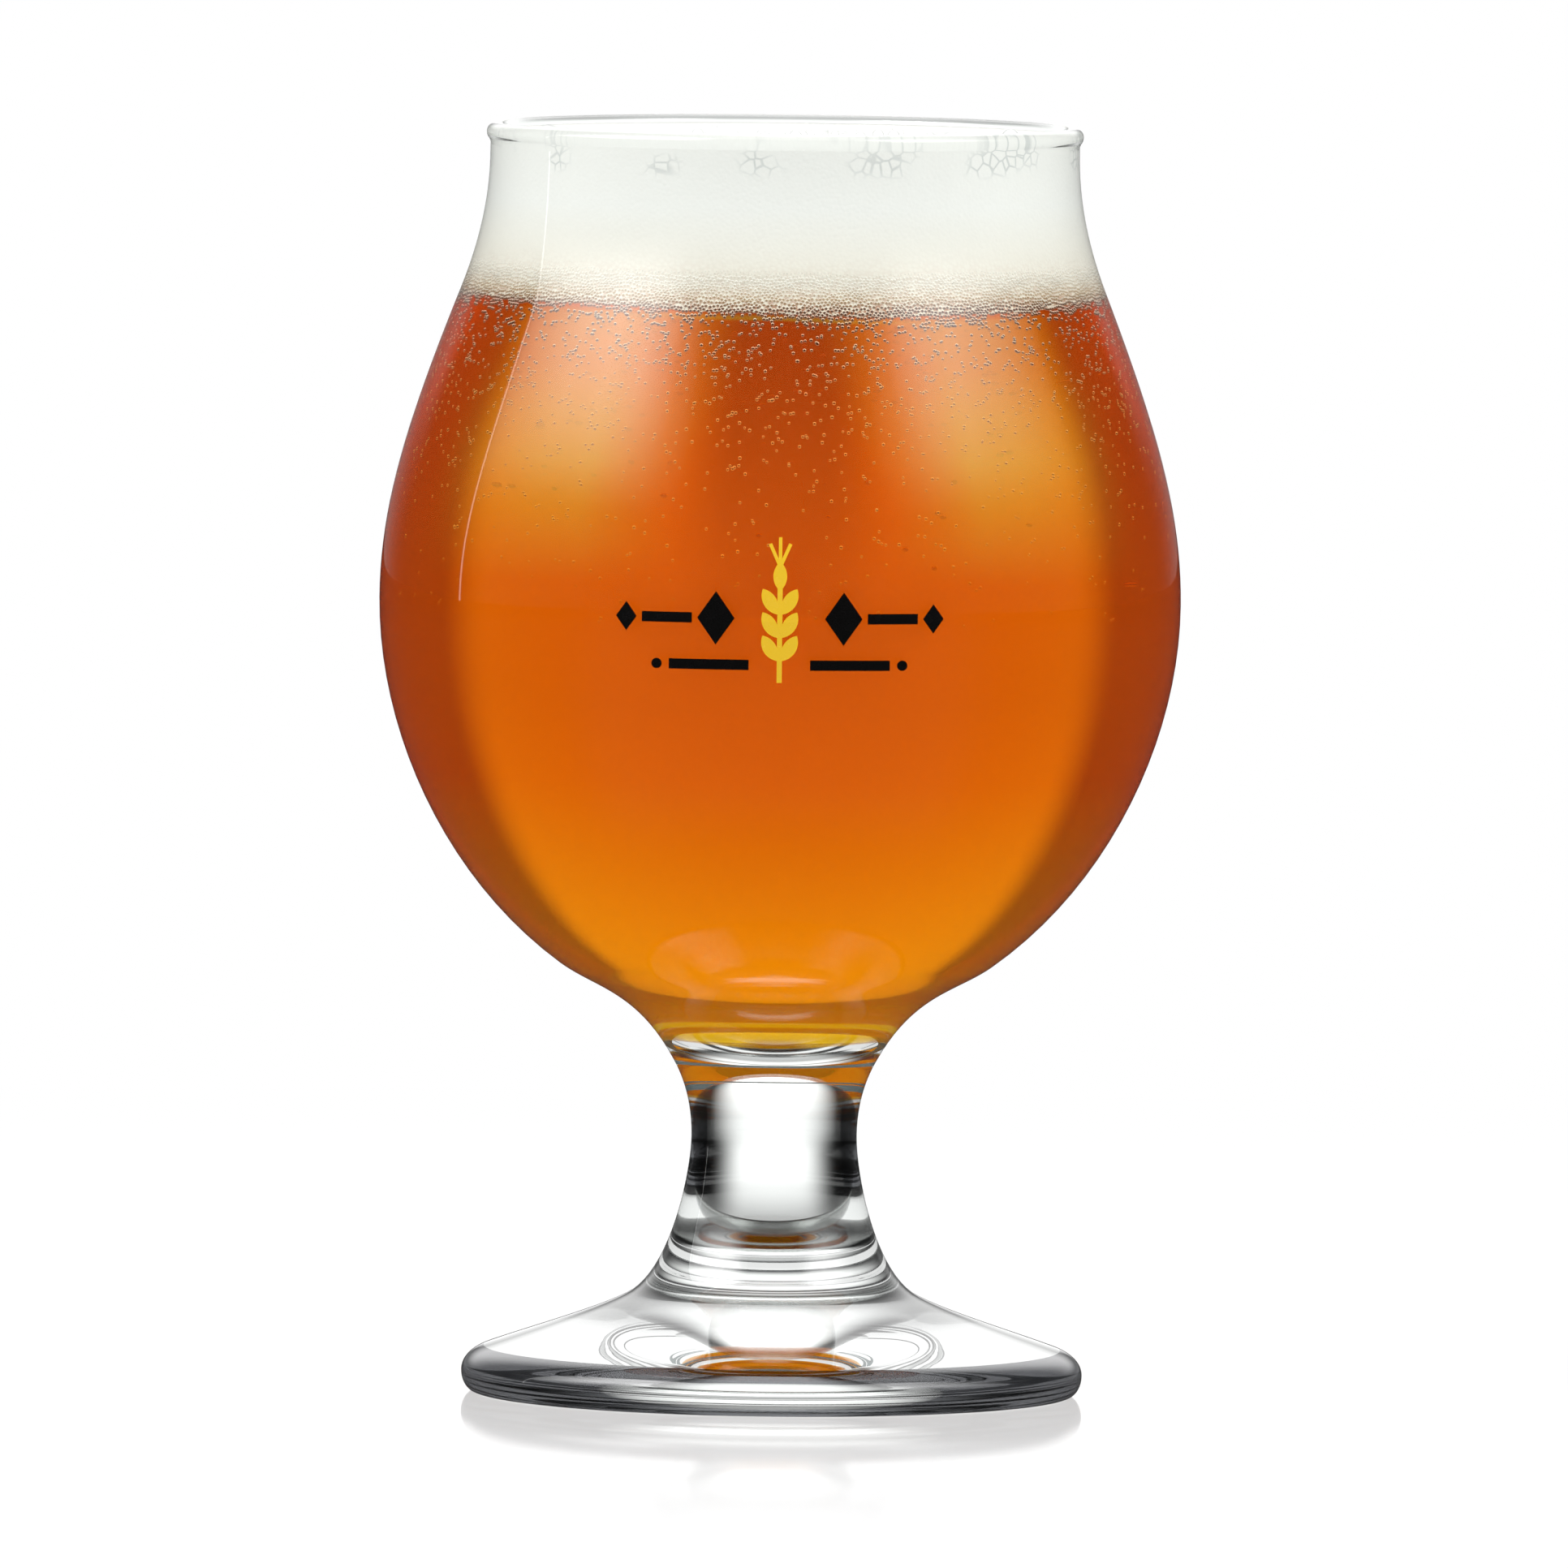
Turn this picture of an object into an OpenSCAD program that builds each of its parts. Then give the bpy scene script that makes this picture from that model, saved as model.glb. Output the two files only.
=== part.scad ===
// Tulip-shaped stemmed beer glass. A blown bowl with a beaded rim stands on a solid pressed stem
// and foot. Beer fills it under a head of foam, and two enamel colours decorate its front.
// Millimetres, +Z up, front towards -Y. The origin is the centre of the ring it stands on.

/* [Bowl] */
// Outer diameter of the belly, the widest part of the bowl
belly_d = 94; // [86:0.2:104]
// Height of the belly above the table
belly_z = 93.1; // [87:0.1:100]
// Outer diameter of the neck, just under the rim
neck_d = 69.1; // [63:0.1:76]
// Height of the top of the rim above the table
rim_z = 149; // [141:0.5:159]
// Thickness of the bowl's wall
wall_t = 1.8; // [1.3:0.1:2.4]
// How far the rounded bead of the rim stands out past the neck
bead_out = 0.45; // [0.2:0.05:0.9]
// Thickness of the glass under the deepest point of the bowl
floor_t = 1.8; // [1.2:0.1:3.6]

/* [Stem] */
// Diameter of the joint where the bowl is fused to the stem
seat_d = 24; // [20:0.1:28]
// Height of that joint above the table
seat_z = 39.3; // [36:0.1:43]
// Diameter of the stem at its waist
waist_d = 19.4; // [16:0.1:23]
// Height of the waist above the table
waist_z = 30.2; // [26:0.1:33]
// Diameter of the joint where the stem's flare meets the foot
flare_d = 34.6; // [30:0.2:41]
// Height of that joint above the table
flare_z = 11.4; // [9.5:0.1:14]

/* [Foot] */
// Outer diameter of the foot
foot_d = 72.9; // [67:0.1:83]
// Height of the foot's slope where it turns over into the rounded edge
edge_t = 5.3; // [4:0.1:6.5]
// Width of the rounded edge, seen from above
edge_w = 2.6; // [1.8:0.1:3.8]
// Outer diameter of the flat ring that the glass stands on
ring_d = 69.8; // [60:0.2:71]
// Width of that ring
ring_w = 3.2; // [2:0.1:6]
// Depth of the shallow hollow inside the ring
hollow_t = 1.6; // [0.5:0.1:2.8]

/* [Drink] */
// Height of the head of foam where it touches the glass
foam_t = 19.9; // [9:0.1:36]
// Height of the rim above the foam where the foam touches the glass
lip_gap = 0.9; // [0.4:0.1:3]
// Depth of the dip in the foam's surface, between its middle and the wall
dip_t = 1; // [0.4:0.1:3]

/* [Decoration] */
// Height of the middle of the decoration above the table
print_z = 93.5; // [88:0.5:100]
// Thickness of the fired enamel
ink_t = 0.15; // [0.1:0.05:0.4]
// Length of one grain of the barley ear
grain_l = 3.4; // [2.4:0.1:4]
// Width of one grain
grain_w = 1.6; // [1:0.1:1.9]
// Height from one pair of grains to the next
grain_pitch = 2.7; // [2.4:0.1:3.6]
// Pairs of grains on the ear
grain_pairs = 3; // [2:1:4]
// Width of the stalk and of the fine bristles above the ear
stalk_w = 0.6; // [0.4:0.1:0.9]
// Length of the middle bristle above the ear
bristle_l = 3.4; // [2:0.1:4.4]
// Height of the large lozenge beside the ear
lozenge_h = 6.2; // [4:0.1:7]
// Distance from the ear's stalk to the middle of the large lozenge
lozenge_x = 7.4; // [6.4:0.1:9]
// Thickness of the bars between the lozenges
bar_t = 1.2; // [0.8:0.1:1.6]
// Length of the upper bar, between the large and the small lozenge
bar_l = 5.8; // [4:0.1:7]
// Drop from the upper bar to the lower one
bar_drop = 5.4; // [4.6:0.1:6.4]

/* [Hidden] */
$fn = 96;

// Steps along one curve of an outline
curve_steps = 10;

belly_r = belly_d / 2;
neck_r = neck_d / 2;
seat_r = seat_d / 2;
waist_r = waist_d / 2;
flare_r = flare_d / 2;
foot_r = foot_d / 2;
ring_r = ring_d / 2;
floor_z = seat_z + floor_t;

// The rim's bead is round, and flush with the wall on the inside
bead_d = wall_t + bead_out;
bead_r = bead_d / 2;
bead_x = neck_r - wall_t + bead_r;
bead_z = rim_z - bead_r;
neck_z = rim_z - bead_d;
bead_from = -acos((wall_t - bead_r) / bead_r);

// Where the foam touches the glass, its border with the beer, and the shape of its surface, whose
// middle stands over that height by a share of the gap to the rim
foam_top_z = rim_z - lip_gap;
foam_z = foam_top_z - foam_t;
surface_steps = 12;
mound_share = 0.8;

// Control points of the curves, each row a share of the way across and a share of the way up
// from the curve's first named point to its last: four rows a curve, the ends shared
fillet_shares = [[0, 0], [0.126, 0.147], [0.271, 0.154], [0.385, 0.208]];
belly_shares = [[0.385, 0.208], [0.78, 0.394], [1, 0.716], [1, 1]];
shoulder_shares = [[0, 0], [0, 0.199], [0.239, 0.387], [0.738, 0.681]];
throat_shares = [[0.738, 0.681], [1, 0.837], [1, 0.94], [1, 1]];
cup_shares = [[0, 0], [0, 0.43], [0.435, 0.754], [1, 1]];
flare_shares = [[0, 0], [0, 0.222], [0.3, 0.87], [1, 1]];
slope_shares = [[0, 0], [0.25, 0.34], [0.685, 0.69], [1, 1]];
edge_shares = [[0, 0], [0.6, 0.2], [1, 0.55], [1, 1]];
under_shares = [[0, 0], [0, 0.55], [0.45, 1], [1, 1]];
hollow_shares = [[0, 0], [0.12, 0.6], [0.45, 1], [1, 1]];
// Share of the edge's height at which the foot is widest
widest_share = 0.45;
// Share of the distance to the wall over which the bowl's floor starts and ends its curve
floor_share = 0.36;
// Bristles beside the middle one: their lean and their share of its length
bristle_lean = 24;
bristle_share = 0.85;
// Lean of the ear's grains, and how much stalk shows below them as a share of a grain
grain_lean = 30;
stub_share = 0.75;
// Shape of the lozenges, and the size of the small one, as shares of the large one
lozenge_shape_share = 0.7;
lozenge_small_share = 0.55;
// Where the lower bar starts and ends, as shares of the reach of the upper row
lower_bar_shares = [0.2, 0.72];
dot_place_share = 0.8;

function cubic(a, b, c, d, t) =
    pow(1 - t, 3) * a + 3 * pow(1 - t, 2) * t * b + 3 * (1 - t) * t * t * c + pow(t, 3) * d;

// Points of a curve whose control points are shares of the way from one point to another
function curve(from, to, shares) =
    let (ctrl = [for (s = shares) [from[0] + s[0] * (to[0] - from[0]), from[1] + s[1] * (to[1] - from[1])]])
    [for (i = [0 : curve_steps]) cubic(ctrl[0], ctrl[1], ctrl[2], ctrl[3], i / curve_steps)];

// Angles from one to another, as many as a curve has points
function sweep(from, to) = [for (i = [0 : curve_steps]) from + (to - from) * i / curve_steps];

function unit(v) = v / norm(v);
function tail(points) = [for (i = [1 : len(points) - 1]) points[i]];
function backwards(points) = [for (i = [len(points) - 1 : -1 : 0]) points[i]];

// The same outline moved sideways by a distance, to the left of its direction
function beside(points, gap) =
    [for (i = [0 : len(points) - 1])
        let (along = unit(points[min(i + 1, len(points) - 1)] - points[max(i - 1, 0)]))
        points[i] + gap * [-along[1], along[0]]];

seat = [seat_r, seat_z];
belly = [belly_r, belly_z];
neck = [neck_r, neck_z];
waist = [waist_r, waist_z];
flare = [flare_r, flare_z];
edge = [foot_r - edge_w, edge_t];
widest = [foot_r, edge_t * widest_share];
ring_out = [ring_r, 0];
ring_in = [ring_r - ring_w, 0];

// The bowl's outside: the fillet over the stem, then the belly, the shoulder and the throat
fillet_points = curve(seat, belly, fillet_shares);
wall_points = concat(
    curve(seat, belly, belly_shares),
    tail(curve(belly, neck, shoulder_shares)),
    tail(curve(belly, neck, throat_shares)));
bead_points = [for (a = concat(sweep(bead_from, 90), tail(sweep(90, 180))))
    [bead_x + bead_r * cos(a), bead_z + bead_r * sin(a)]];

// The bowl's inside, from the middle of its floor up to the rim
wall_inside = beside(wall_points, wall_t);
floor_end = wall_inside[0];
floor_along = unit(wall_inside[1] - wall_inside[0]);
floor_points = [for (i = [0 : curve_steps])
    cubic([0, floor_z], [floor_share * floor_end[0], floor_z],
        floor_end - floor_share * floor_end[0] * floor_along, floor_end, i / curve_steps)];
inside_points = concat(floor_points, tail(wall_inside));

// Everything inside the bowl up to the top of the rim
module cavity_outline() {
    polygon(concat(inside_points, [[neck_r - wall_t, rim_z], [0, rim_z]]));
}

// The part of the cavity between two heights
module cavity_slice(low, high) {
    intersection() {
        cavity_outline();
        translate([0, low]) square([belly_r, high - low]);
    }
}

module bowl() {
    color([0.86, 0.93, 0.95, 0.4])
        rotate_extrude()
            polygon(concat([[0, seat_z]], fillet_points, tail(wall_points), bead_points,
                backwards(inside_points)));
}

module stem() {
    color([0.78, 0.84, 0.88, 0.5])
        rotate_extrude()
            polygon(concat([[0, seat_z]], backwards(curve(waist, seat, cup_shares)),
                tail(curve(waist, flare, flare_shares)), [[0, flare_z]]));
}

module foot() {
    color([0.72, 0.8, 0.8, 0.5])
        rotate_extrude()
            polygon(concat([[0, flare_z]], curve(flare, edge, slope_shares),
                tail(curve(edge, widest, edge_shares)),
                tail(curve(widest, ring_out, under_shares)),
                curve(ring_in, [0, hollow_t], hollow_shares)));
}

module beer() {
    color([0.83, 0.38, 0.02, 0.95])
        rotate_extrude()
            cavity_slice(floor_z, foam_z);
}

// The surface is a low mound in the middle with a dip around it, and comes up again at the wall
module foam_head() {
    color([0.95, 0.94, 0.9])
        rotate_extrude()
            difference() {
                cavity_slice(foam_z, rim_z);
                polygon(concat([[0, rim_z + lip_gap]],
                    [for (i = [0 : surface_steps])
                        let (s = i / surface_steps, mound = mound_share * lip_gap * pow(1 - s * s, 2))
                        [s * (neck_r - wall_t), foam_top_z + mound - 4 * dip_t * s * s * (1 - s * s)]],
                    [[belly_r, foam_top_z], [belly_r, rim_z + lip_gap]]));
            }
}

// A pointed oval of two arcs
module grain() {
    arc_r = (grain_l * grain_l + grain_w * grain_w) / (4 * grain_w);
    intersection() {
        translate([arc_r - grain_w / 2, 0]) circle(arc_r);
        translate([grain_w / 2 - arc_r, 0]) circle(arc_r);
    }
}

module lozenge(h) {
    w = h * lozenge_shape_share;
    polygon([[0, -h / 2], [w / 2, 0], [0, h / 2], [-w / 2, 0]]);
}

// The ear: pairs of grains leaning away from a stalk, one grain on its end, bristles on that
module ear_outline() {
    ear_h = grain_pairs * grain_pitch;
    first = -ear_h / 2 - grain_l / 4;
    last = first + ear_h;
    for (i = [0 : grain_pairs - 1], side = [-1, 1])
        translate([side * stalk_w / 2, first + i * grain_pitch])
            rotate(-side * grain_lean)
                translate([0, grain_l / 2])
                    grain();
    translate([-stalk_w / 2, first - stub_share * grain_l])
        square([stalk_w, stub_share * grain_l + ear_h + grain_w / 2]);
    translate([0, last + grain_l / 2]) grain();
    for (side = [-1, 0, 1])
        translate([0, last + grain_l - stalk_w])
            rotate(-side * bristle_lean)
                translate([-stalk_w / 3, 0])
                    square([stalk_w * 2 / 3, bristle_l * (side == 0 ? 1 : bristle_share)]);
}

// To each side of the ear: a large lozenge, a bar and a small lozenge, over a lower bar and a dot
module rule_outline() {
    small_h = lozenge_h * lozenge_small_share;
    large_w = lozenge_h * lozenge_shape_share;
    small_w = small_h * lozenge_shape_share;
    bar_x = lozenge_x + large_w / 2 + bar_t / 2;
    end_x = bar_x + bar_l + bar_t / 2 + small_w / 2;
    low = lower_bar_shares[0] * end_x;
    high = lower_bar_shares[1] * end_x;
    for (side = [0, 1])
        mirror([side, 0]) {
            translate([lozenge_x, 0]) lozenge(lozenge_h);
            translate([bar_x, -bar_t / 2]) square([bar_l, bar_t]);
            translate([end_x, 0]) lozenge(small_h);
            translate([low, -bar_drop - bar_t / 2]) square([high - low, bar_t]);
            translate([dot_place_share * end_x, -bar_drop]) circle(bar_t / 2);
        }
}

// A flat outline printed on the front of the bowl, as thick as the enamel
module printed() {
    reach = lozenge_h + bar_drop + grain_pairs * grain_pitch;
    band = [for (p = wall_points) if (abs(p[1] - print_z) < reach) p];
    intersection() {
        rotate_extrude()
            polygon(concat(band, backwards(beside(band, -ink_t))));
        translate([0, 0, print_z])
            rotate([90, 0, 0])
                linear_extrude(belly_d)
                    children();
    }
}

module gold_print() {
    color([0.92, 0.75, 0.12])
        printed() ear_outline();
}

module black_print() {
    color([0.05, 0.05, 0.05])
        printed() rule_outline();
}

bowl();
stem();
foot();
beer();
foam_head();
gold_print();
black_print();
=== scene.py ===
# A tulip-shaped glass of amber beer under a head of foam, standing on a white table.
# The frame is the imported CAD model, in metres, with the front towards -Y.
import bpy, bmesh, math, random
import numpy as np
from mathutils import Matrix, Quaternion, Vector, geometry


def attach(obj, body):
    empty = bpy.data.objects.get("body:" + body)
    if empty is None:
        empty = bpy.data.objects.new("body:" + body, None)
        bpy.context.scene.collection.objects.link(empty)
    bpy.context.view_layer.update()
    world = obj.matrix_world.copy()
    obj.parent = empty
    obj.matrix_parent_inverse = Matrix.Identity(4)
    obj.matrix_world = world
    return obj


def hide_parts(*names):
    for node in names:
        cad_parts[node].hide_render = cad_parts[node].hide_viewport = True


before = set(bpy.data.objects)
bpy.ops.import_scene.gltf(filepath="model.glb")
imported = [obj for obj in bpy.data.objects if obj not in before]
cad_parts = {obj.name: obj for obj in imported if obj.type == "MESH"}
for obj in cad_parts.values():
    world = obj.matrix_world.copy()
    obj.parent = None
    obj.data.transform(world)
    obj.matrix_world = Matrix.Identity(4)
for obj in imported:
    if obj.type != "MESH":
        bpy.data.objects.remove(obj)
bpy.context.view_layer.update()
mm = 0.001
degree = math.pi / 180
closeBy = 1e-7
scene = bpy.context.scene
scene.view_settings.view_transform = "Standard"

# Camera: a long lens a little above the table. lean is the small turn of the picture, in degrees
cameraView = {"distance": 3.24, "height": 0.263, "aimX": 0.0007, "aimZ": 0.0716, "lens": 634.0, "sensor": 36.0,
              "clip": (0.1, 50.0), "lean": 0.65}

aim = Vector((cameraView["aimX"], 0, cameraView["aimZ"]))
above = cameraView["height"] - aim.z
place = Vector((aim.x, -math.sqrt(cameraView["distance"] ** 2 - above ** 2), cameraView["height"]))
cameraData = bpy.data.cameras.new("camera")
cameraData.lens, cameraData.sensor_width = cameraView["lens"], cameraView["sensor"]
cameraData.clip_start, cameraData.clip_end = cameraView["clip"]
camera = bpy.data.objects.new("camera", cameraData)
scene.collection.objects.link(camera)
lookAt = (aim - place).to_track_quat("-Z", "Y") @ Quaternion((0, 0, 1), math.radians(cameraView["lean"]))
camera.location, camera.rotation_euler = place, lookAt.to_euler()
scene.camera = camera
print("camera placed")


def hexColour(text):
    parts = [int(text[i:i + 2], 16) / 255 for i in (0, 2, 4)]
    return tuple(c / 12.92 if c <= 0.04045 else ((c + 0.055) / 1.055) ** 2.4 for c in parts) + (1.0,)


# stops are the (position, colour) pairs of a colour ramp
def addNode(tree, kind, settings=None, links=None, stops=()):
    node = tree.nodes.new(kind)
    for name, value in (settings or {}).items():
        if isinstance(name, int) or name in node.inputs:
            node.inputs[name].default_value = value
        else:
            setattr(node, name, value)
    for name, source in (links or {}).items():
        tree.links.new(source, node.inputs[name])
    for i, (position, colour) in enumerate(stops):
        ramp = node.color_ramp.elements
        stop = ramp[i] if i < 2 else ramp.new(position)
        stop.position, stop.color = position, colour
    return node


def newMaterial(name):
    material = bpy.data.materials.new(name)
    material.use_nodes = True
    material.node_tree.nodes.clear()
    return material, material.node_tree


def grey(level):
    return (level, level, level, 1.0)


# Settings for a change from start to end while a value goes from one of a pair to the other
def between(pair, start=0.0, end=1.0, unit=1.0, eased=True):
    return {"interpolation_type": "SMOOTHSTEP" if eased else "LINEAR", "From Min": pair[0] * unit,
            "From Max": pair[1] * unit, "To Min": start, "To Max": end}


# Colours by height on the model, from (height in millimetres, colour) pairs
def overHeight(tree, levels):
    low, high = levels[0][0], levels[-1][0]
    place = addNode(tree, "ShaderNodeTexCoord")
    parts = addNode(tree, "ShaderNodeSeparateXYZ", {}, {0: place.outputs["Object"]})
    up = addNode(tree, "ShaderNodeMapRange", between((low, high), unit=mm, eased=False),
                 {"Value": parts.outputs["Z"]})
    return addNode(tree, "ShaderNodeValToRGB", {}, {0: up.outputs[0]},
                   [((z - low) / (high - low), colour) for z, colour in levels])


# Light Path counts the surfaces that a path has passed or been mirrored by: none yet is under first. One that
# has come out of the drink has passed more of them than one out of the clear stem and foot
first, clearPasses, drinkPasses = 0.5, 2.5, (2, 3)


# A pair of angles in degrees that is one through the clear glass and another through the drink
def edgesThrough(tree, path, clearEdges, drinkEdges):
    edges = []
    for clearEdge, drinkEdge in zip(clearEdges, drinkEdges):
        settings = between(drinkPasses, clearEdge * degree, drinkEdge * degree, eased=False)
        edge = addNode(tree, "ShaderNodeMapRange", settings, {"Value": path.outputs["Transmission Depth"]})
        edges.append(edge.outputs[0])
    return edges


# Lamps and soft light go straight through what is clear, so that they reach what the glass holds
def finishClear(tree, shader):
    path = addNode(tree, "ShaderNodeLightPath")
    passing = addNode(tree, "ShaderNodeMath", {"operation": "MAXIMUM"},
                      {0: path.outputs["Is Shadow Ray"], 1: path.outputs["Is Diffuse Ray"]})
    through = addNode(tree, "ShaderNodeBsdfTransparent")
    mixed = addNode(tree, "ShaderNodeMixShader", {},
                    {0: passing.outputs[0], 1: shader.outputs[0], 2: through.outputs[0]})
    addNode(tree, "ShaderNodeOutputMaterial", {}, {"Surface": mixed.outputs[0]})


# Soda-lime glass, fire polished: clear, with only a breath of green, and mirror smooth. Paths that have been
# mirrored about several times inside the thick foot and the rim end in a painted glow of strength paintedGlow. Where
# one looks at thick glass slantwise, painted shade darkens its colour towards paintedDark: edge and side are (facing
# away, darkness) pairs, and stemShadeHeights is how much of that painted shade the stem shows at each height in
# millimetres
glassLook = {"colour": "FBFEFC", "paintedDark": "27282B", "ior": 1.52, "wettedIor": 1.13, "paintedGlow": 0.85,
             "softAfter": (3, 4), "edge": ((0.05, 0), (0.17, 1)), "side": ((0.3, 0), (0.42, 1)),
             "stemShadeHeights": ((8.2, 0), (9.4, 0.6), (12, 0.6), (13.6, 0), (22.8, 0), (24.6, 1), (34, 1), (36.6, 0))}


def makeGlass(name, ior, paintedSlantShade=(), stemShadeHeights=()):
    material, tree = newMaterial(name)
    body = addNode(tree, "ShaderNodeBsdfPrincipled", {"Base Color": hexColour(glassLook["colour"]), "Roughness": 0.0,
                   "IOR": ior, "Transmission Weight": 1.0})
    # Painted shade: darker the more slantwise one looks, and on the stem by height
    if paintedSlantShade:
        away = addNode(tree, "ShaderNodeLayerWeight")
        paintedDarkness = addNode(tree, "ShaderNodeValToRGB", {}, {0: away.outputs["Facing"]},
                           [(share, grey(paintedDark)) for share, paintedDark in paintedSlantShade])
        if stemShadeHeights:
            shown = overHeight(tree, [(z, grey(paintedDark)) for z, paintedDark in stemShadeHeights])
            paintedDarkness = addNode(tree, "ShaderNodeMath", {"operation": "MULTIPLY"},
                               {0: paintedDarkness.outputs[0], 1: shown.outputs[0]})
        tint = addNode(tree, "ShaderNodeMix", {"data_type": "RGBA", 6: hexColour(glassLook["colour"]),
                       7: hexColour(glassLook["paintedDark"])}, {0: paintedDarkness.outputs[0]})
        tree.links.new(tint.outputs[2], body.inputs["Base Color"])
    # Painted glow: an even emission where a path has been mirrored several times inside the glass
    path = addNode(tree, "ShaderNodeLightPath")
    often = addNode(tree, "ShaderNodeMapRange", between(glassLook["softAfter"], eased=False),
                    {"Value": path.outputs["Glossy Depth"]})
    paintedGlow = addNode(tree, "ShaderNodeEmission", {"Color": grey(1.0), "Strength": glassLook["paintedGlow"]})
    finishClear(tree, addNode(tree, "ShaderNodeMixShader", {},
                              {0: often.outputs[0], 1: body.outputs[0], 2: paintedGlow.outputs[0]}))
    return material


clearGlass = makeGlass("clearGlass", glassLook["ior"])
# The same glass where the drink touches it, which hides most of its shine
wettedGlass = makeGlass("wettedGlass", glassLook["wettedIor"])
# The foot's thick edge and the stem, darkened by painted shade where one looks at them slantwise
edgeGlass = makeGlass("edgeGlass", glassLook["ior"], glassLook["edge"])
stemGlass = makeGlass("stemGlass", glassLook["ior"], glassLook["side"], glassLook["stemShadeHeights"])

# The line along which stem and bowl are fused: fine scale and gas in the glass, which look grey
seamLook = {"colour": "6E7B7C", "roughness": 0.45, "ior": 1.5}

fusedScale, tree = newMaterial("fusedScale")
body = addNode(tree, "ShaderNodeBsdfPrincipled", {"Base Color": hexColour(seamLook["colour"]),
               "Roughness": seamLook["roughness"], "IOR": seamLook["ior"]})
addNode(tree, "ShaderNodeOutputMaterial", {}, {"Surface": body.outputs[0]})

# Bubbles of gas: a painted highlight, a bright arc along the top that stands for the froth above mirrored in them,
# round a middle of painted shade. Up in the froth the painted shade is lighter, and those on the far side are lost in
# the
# haze: farSide of them is left after farDepth surfaces. levels are (height in millimetres, arc colour, shade colour,
# how dark)
bubbleLook = {"arc": (0.16, 0.36), "top": (0.1, 0.4), "farSide": 0.15, "farDepth": (1.5, 2.5),
              "levels": ((98, "E8A436", "8A3204", 0.25), (118, "F3C070", "742A03", 0.35),
                         (126.6, "FFEED0", "4A1B04", 0.8), (128.6, "FFF9EC", "6E3C14", 0.8),
                         (129.8, "FDFAF2", "B7935F", 0.5), (131.5, "FCFBF6", "DFD3BD", 0.3),
                         (138, "FCFBF6", "F0EBDF", 0.1))}

gasBubble, tree = newMaterial("gasBubble")
levels = bubbleLook["levels"]
paintedArcColour = overHeight(tree, [(z, hexColour(paintedArc)) for z, paintedArc, paintedShade, paintedDark in levels])
paintedShadeColour = overHeight(tree, [(z, hexColour(paintedShade)) for z, paintedArc, paintedShade, paintedDark in levels])
paintedDarkness = overHeight(tree, [(z, grey(paintedDark)) for z, paintedArc, paintedShade, paintedDark in levels])
# The painted highlight: a cream arc where the rim faces up
away = addNode(tree, "ShaderNodeLayerWeight")
arc = addNode(tree, "ShaderNodeMapRange", between(bubbleLook["arc"]), {"Value": away.outputs["Facing"]})
side = addNode(tree, "ShaderNodeNewGeometry")
facing = addNode(tree, "ShaderNodeSeparateXYZ", {}, {0: side.outputs["Normal"]})
upper = addNode(tree, "ShaderNodeMapRange", between(bubbleLook["top"]), {"Value": facing.outputs["Z"]})
paintedArc = addNode(tree, "ShaderNodeMath", {"operation": "MULTIPLY"}, {0: arc.outputs[0], 1: upper.outputs[0]})
clear = addNode(tree, "ShaderNodeBsdfTransparent")
# Painted shade over the middle and lower part
paintedShade = addNode(tree, "ShaderNodeBsdfDiffuse", {}, {"Color": paintedShadeColour.outputs[0]})
shine = addNode(tree, "ShaderNodeBsdfDiffuse", {}, {"Color": paintedArcColour.outputs[0]})
lower = addNode(tree, "ShaderNodeMixShader", {}, {0: paintedDarkness.outputs[0], 1: clear.outputs[0], 2: paintedShade.outputs[0]})
whole = addNode(tree, "ShaderNodeMixShader", {}, {0: paintedArc.outputs[0], 1: lower.outputs[0], 2: shine.outputs[0]})
path = addNode(tree, "ShaderNodeLightPath")
near = addNode(tree, "ShaderNodeMapRange", between(bubbleLook["farDepth"], 1.0, bubbleLook["farSide"], eased=False),
               {"Value": path.outputs["Transparent Depth"]})
finishClear(tree, addNode(tree, "ShaderNodeMixShader", {},
                          {0: near.outputs[0], 1: clear.outputs[0], 2: whole.outputs[0]}))

# Large bubbles on top of the froth: white froth shows through, and painted shade greys their thin skins towards the
# edge
skinLook = {"skinWithPaintedRim": ((0.45, "FBFBF9"), (0.85, "B4B8B6")), "roughness": 0.08, "ior": 1.33}

frothBubble, tree = newMaterial("frothBubble")
away = addNode(tree, "ShaderNodeLayerWeight")
skinWithPaintedRim = addNode(tree, "ShaderNodeValToRGB", {}, {0: away.outputs["Facing"]},
               [(share, hexColour(colour)) for share, colour in skinLook["skinWithPaintedRim"]])
body = addNode(tree, "ShaderNodeBsdfPrincipled", {"Roughness": skinLook["roughness"], "IOR": skinLook["ior"]},
               {"Base Color": skinWithPaintedRim.outputs[0]})
addNode(tree, "ShaderNodeOutputMaterial", {}, {"Surface": body.outputs[0]})

# Amber beer: clear enough to see through, with a fine haze that glows where light falls on it. haze is how
# much of it there is, hazes its colour by height in millimetres, partly painted light: yellower low down for light
# that passes less drink there. backShare and backHaze are the light that comes through it. absorbs is what a metre of
# it takes out of red, green and blue. Beside the middle of its front a painted golden glow lies on its upper part:
# paintedGlowFacing are (facing away, how golden) pairs, paintedGlowHeights the same by height, and paintedGlowFront
# how far in front of the axis that begins
beerLook = {"haze": 0.34, "hazes": ((44, "F6CC20"), (54, "F2AC16"), (74, "F46E08"), (112, "F46406")),
            "backShare": 0.2, "backHaze": "F0720A", "gold": "F6E84C",
            "paintedGlowFacing": ((0.03, 0), (0.09, 0.95), (0.14, 0.85), (0.24, 0.35), (0.33, 0)),
            "paintedGlowHeights": ((97, 0), (111, 1), (116, 0.9), (122, 0.55)), "paintedGlowFront": (-15, -28),
            "absorbs": (3.9, 23.8, 320.0)}

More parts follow.
